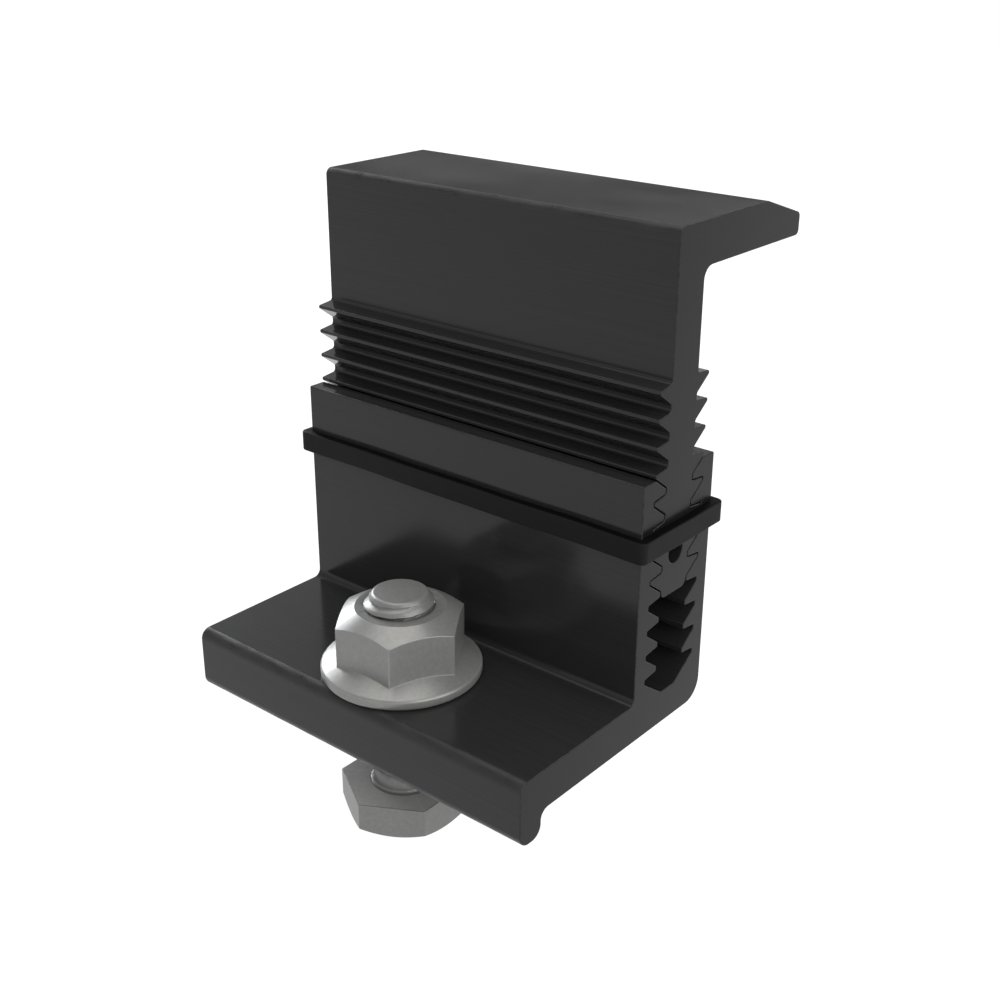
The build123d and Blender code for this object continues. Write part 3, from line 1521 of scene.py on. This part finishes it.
@dataclass
class FlangeNut:
    """The M8 hexagon nut with its flange in one piece."""

    steel: bpy.types.Material
    thread: MetricThread
    bottom: float = 7.55
    height: float = 8.0
    across: float = 13.0
    turn: float = 3.5
    face_radius: float = 5.0
    rim_radius: float = 8.95
    rim: float = 1.2
    cone: float = 25.0
    rim_ease: float = 0.40
    rim_foot: float = 0.50
    blend: float = 0.08
    mouth_edge: float = 0.08
    face_edge: float = 0.18
    edge: float = 0.12
    mouth: float = 4.45
    top_mouth: float = 3.85
    minor: float = 3.36

    def section(self, hexagon: float) -> list[Station]:
        """Draws the nut's section where its hexagon has a given radius.

        Args:
            hexagon: The hexagon's radius there.

        Returns:
            The stations, once round the section.
        """
        bottom, top = self.bottom, self.bottom + self.height
        chamfer = (hexagon - self.face_radius) * math.tan(CHAMFER)
        climb = math.tan(math.radians(self.cone))
        on_cone = bottom + self.rim + (self.rim_radius - hexagon) * climb
        sink, top_sink = self.mouth - self.minor, self.top_mouth - self.minor
        outside = rounded_line(
            [
                (self.minor, bottom + sink, 0.0),
                (self.mouth, bottom, self.mouth_edge),
                (self.rim_radius, bottom, self.rim_foot),
                (self.rim_radius, bottom + self.rim, self.rim_ease),
                (hexagon, on_cone, self.blend),
                (hexagon, top - chamfer, self.edge),
                (self.face_radius, top, self.face_edge),
                (self.top_mouth, top, 0.0),
                (self.minor, top - top_sink, 0.0),
            ],
            closed=False,
            steps=5,
        )
        step = self.thread.step()
        return (
            stations(outside[1:-2])
            + rows_between((self.top_mouth, top), (self.minor, top - top_sink), step)
            + rows_between((self.minor, top - top_sink), (self.minor, bottom + sink), step)[1:]
            + rows_between((self.minor, bottom + sink), outside[1][:2], step)[1:-1]
        )

    def build(self, cutter: NodeTree) -> bpy.types.Object:
        """Makes and dresses the nut.

        Args:
            cutter: The tree that cuts the thread.

        Returns:
            The nut.
        """
        outline = Hexagon(self.across, self.turn).polar()
        sections = [self.section(radius) for _, radius in outline]
        mesh = turned("flanged_nut", [angle for angle, _ in outline], sections, ring=True)
        mesh.materials.append(self.steel)
        piece = new_piece("flanged_nut", mesh)
        self.thread.cut(cutter, piece, ThreadSide.BORE, self.steel)
        smooth_over(piece)
        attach(piece, "nut")
        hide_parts("flange_nut")
        return piece


# The studio, and the making of it all.


@dataclass(frozen=True)
class Lamp:
    """A square soft light: where it stands, its side, its power and its tint."""

    name: str
    place: tuple[float, float, float]
    side: float
    power: float
    tint: tuple[float, float, float] = (1.0, 1.0, 1.0)


@dataclass
class Studio:
    """A plain pale floor, soft light, and the camera at the photograph's angle."""

    floor_level: float = -16.0
    floor_side: float = 8000.0
    floor_colour: float = 0.45
    floor_shown: float = 0.20
    floor_glow: float = 0.88
    sky_behind: tuple[tuple[float, float], ...] = (
        (0.0, 0.96),
        (0.10, 0.92),
        (0.135, 0.08),
        (0.24, 0.08),
        (0.36, 0.70),
        (1.0, 0.70),
    )
    sky_before: tuple[tuple[float, float], ...] = (
        (0.0, 0.96),
        (0.22, 0.90),
        (0.36, 0.62),
        (0.50, 0.66),
        (0.62, 0.40),
        (1.0, 0.75),
    )
    behind: tuple[float, float, float] = (-0.648, 0.762, 0.0)
    turn_over: tuple[float, float] = (0.93, 0.965)
    target: tuple[float, float, float] = (6.280, 8.047, 27.964)
    azimuth: float = 39.957
    elevation: float = 23.264
    roll: float = 0.13
    distance: float = 147.197
    lens: float = 49.79
    sensor: float = 36.0
    clips: tuple[float, float] = (0.005, 50.0)
    shift: tuple[float, float] = (0.0075, -0.0079)
    lamps: tuple[Lamp, ...] = (
        Lamp("overhead_box", (-60.0, 40.0, 620.0), 480.0, 1.55, (1.0, 0.98, 0.93)),
        Lamp("right_box", (590.0, -60.0, 270.0), 640.0, 3.0, (1.0, 0.99, 0.97)),
        Lamp("back_left_box", (-502.0, 144.0, 213.0), 240.0, 2.1, (0.95, 0.98, 1.0)),
    )

    def build(self) -> None:
        """Makes the floor, the world, the lamps and the camera."""
        self.build_floor()
        self.build_world()
        for lamp in self.lamps:
            self.hang(lamp)
        self.set_camera()

    def pale(self, tree: bpy.types.NodeTree) -> bpy.types.NodeSocket:
        """Adds a switch that is 1 for what the camera sees, straight, mirrored or through.

        Args:
            tree: The material's tree.

        Returns:
            The switch.
        """
        seen = tree.nodes.new("ShaderNodeLightPath").outputs
        total = seen["Is Camera Ray"]
        for label in ("Is Glossy Ray", "Is Transmission Ray"):
            added = tree.nodes.new("ShaderNodeMath")
            added.operation = "MAXIMUM"
            tree.links.new(total, added.inputs[0])
            tree.links.new(seen[label], added.inputs[1])
            total = added.outputs[0]
        return total

    def build_floor(self) -> None:
        """Makes the floor, which shows white and keeps the clamp's shadow."""
        half = self.floor_side / 2 * MM
        level = self.floor_level * MM
        mesh = bpy.data.meshes.new("studio_floor")
        ways = ((-1, -1), (1, -1), (1, 1), (-1, 1))
        corners = [(across * half, along * half, level) for across, along in ways]
        mesh.from_pydata(corners, [], [(0, 1, 2, 3)])
        floor = new_piece("studio_floor", mesh)
        material = bpy.data.materials.new("pale_floor")
        material.use_nodes = True
        tree = material.node_tree
        tree.nodes.clear()
        seen = self.pale(tree)
        colour = tree.nodes.new("ShaderNodeMapRange")
        colour.inputs["To Min"].default_value = self.floor_colour
        colour.inputs["To Max"].default_value = self.floor_shown
        tree.links.new(seen, colour.inputs["Value"])
        paint = tree.nodes.new("ShaderNodeBsdfDiffuse")
        tree.links.new(colour.outputs[0], paint.inputs["Color"])
        strength = tree.nodes.new("ShaderNodeMath")
        strength.operation = "MULTIPLY"
        strength.inputs[1].default_value = self.floor_glow
        tree.links.new(seen, strength.inputs[0])
        glow = tree.nodes.new("ShaderNodeEmission")
        tree.links.new(strength.outputs[0], glow.inputs["Strength"])
        both = tree.nodes.new("ShaderNodeAddShader")
        tree.links.new(paint.outputs[0], both.inputs[0])
        tree.links.new(glow.outputs[0], both.inputs[1])
        tree.links.new(both.outputs[0], tree.nodes.new("ShaderNodeOutputMaterial").inputs["Surface"])
        mesh.materials.append(material)

    def build_world(self) -> None:
        """Makes the sky: pale all round, but for a dim band low down behind the clamp."""
        world = bpy.data.worlds.new("studio_sky")
        world.use_nodes = True
        tree = world.node_tree
        background = next(node for node in tree.nodes if node.type == "BACKGROUND")
        way = tree.nodes.new("ShaderNodeTexCoord").outputs["Generated"]
        split = tree.nodes.new("ShaderNodeSeparateXYZ")
        tree.links.new(way, split.inputs[0])
        along = tree.nodes.new("ShaderNodeVectorMath")
        along.operation = "DOT_PRODUCT"
        along.inputs[1].default_value = self.behind
        tree.links.new(way, along.inputs[0])
        share = tree.nodes.new("ShaderNodeMapRange")
        share.interpolation_type = "SMOOTHSTEP"
        share.inputs["From Min"].default_value, share.inputs["From Max"].default_value = self.turn_over
        tree.links.new(along.outputs["Value"], share.inputs["Value"])
        mix = tree.nodes.new("ShaderNodeMix")
        mix.data_type = "RGBA"
        tree.links.new(share.outputs[0], mix.inputs["Factor"])
        low, high = [socket for socket in mix.inputs if socket.type == "RGBA"]
        for stops, socket in ((self.sky_before, low), (self.sky_behind, high)):
            ramp = tree.nodes.new("ShaderNodeValToRGB")
            tree.links.new(split.outputs["Z"], ramp.inputs["Fac"])
            tree.links.new(ramp.outputs["Color"], socket)
            marks = ramp.color_ramp.elements
            marks.remove(marks[-1])
            for place, (height, level) in enumerate(stops):
                mark = marks.new(height) if place else marks[0]
                mark.color = (*(level,) * 3, 1.0)
        tree.links.new(next(s for s in mix.outputs if s.type == "RGBA"), background.inputs["Color"])
        bpy.context.scene.world = world

    def hang(self, lamp: Lamp) -> None:
        """Hangs a lamp that faces the clamp.

        Args:
            lamp: The lamp.
        """
        data = bpy.data.lights.new(lamp.name, "AREA")
        data.shape, data.size, data.energy = "SQUARE", lamp.side * MM, lamp.power
        data.color = lamp.tint
        piece = bpy.data.objects.new(lamp.name, data)
        bpy.context.scene.collection.objects.link(piece)
        piece.location = Vector(lamp.place) * MM
        aim = Vector(self.target) * MM - piece.location
        piece.rotation_mode = "QUATERNION"
        piece.rotation_quaternion = aim.to_track_quat("-Z", "Y")

    def set_camera(self) -> None:
        """Sets the camera where the photograph was taken from."""
        data = bpy.data.cameras.new("photo_camera")
        data.sensor_width, data.lens = self.sensor, self.lens
        data.shift_x, data.shift_y = self.shift
        data.clip_start, data.clip_end = self.clips
        camera = bpy.data.objects.new("photo_camera", data)
        bpy.context.scene.collection.objects.link(camera)
        turn, rise = math.radians(self.azimuth), math.radians(self.elevation)
        level = math.cos(rise)
        away = Vector((math.sin(turn) * level, -math.cos(turn) * level, math.sin(rise)))
        camera.location = (Vector(self.target) + away * self.distance) * MM
        camera.rotation_mode = "QUATERNION"
        tilt = Quaternion((0.0, 0.0, 1.0), math.radians(self.roll))
        camera.rotation_quaternion = (-away).to_track_quat("-Z", "Y") @ tilt
        bpy.context.scene.camera = camera


def report(pieces: list[bpy.types.Object]) -> None:
    """Logs each finished piece with the size of its mesh.

    Args:
        pieces: The pieces.
    """
    for piece in pieces:
        piece.data.calc_loop_triangles()
        LOG.info("%s: %d triangles", piece.name, len(piece.data.loop_triangles))


def main() -> None:
    """Builds the clamp's pieces around the frame, and the studio."""
    logging.basicConfig(level=logging.INFO, format="%(name)s %(message)s")
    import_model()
    rack, cutter, thread = tooth_rack_tree(), thread_tree(), MetricThread()
    sawn = BlackAnodised(
        Cut.SAWN,
        (0.0068, 0.0068, 0.0070),
        (0.0098, 0.0098, 0.0101),
        worn_colour=(0.044, 0.044, 0.045),
        roughness=(0.20, 0.28),
        index=1.23,
    )
    profiles = Profiles(BlackAnodised(Cut.DRAWN).build(), sawn.build())
    bolt_steel = PlainSteel(
        "headed_bolt_steel", (0.178, 0.181, 0.181), (0.210, 0.210, 0.207), (0.32, 0.42)
    )
    # A lighter copy of the bolt's steel for the face under the head: its rings are turned, its much
    # lighter colour is painted light where the foot's shade falls.
    bearing_steel_painted_light = PlainSteel(
        "turned_bearing_painted_light",
        (0.40, 0.40, 0.395),
        (0.45, 0.45, 0.44),
        (0.34, 0.44),
        metallic=0.10,
    )
    nut_steel = PlainSteel(
        "formed_nut_steel", (0.200, 0.203, 0.203), (0.232, 0.232, 0.226), (0.28, 0.36)
    )
    report(profiles.build(rack))
    report([RubberBand(BandRubber().build()).build()])
    report([HexBolt(bolt_steel.build(), bearing_steel_painted_light.build(), thread).build(cutter)])
    report([FlangeNut(nut_steel.build(), thread).build(cutter)])
    Studio().build()
    bpy.context.scene.view_settings.view_transform = "Standard"


if __name__ == "__main__":
    main()
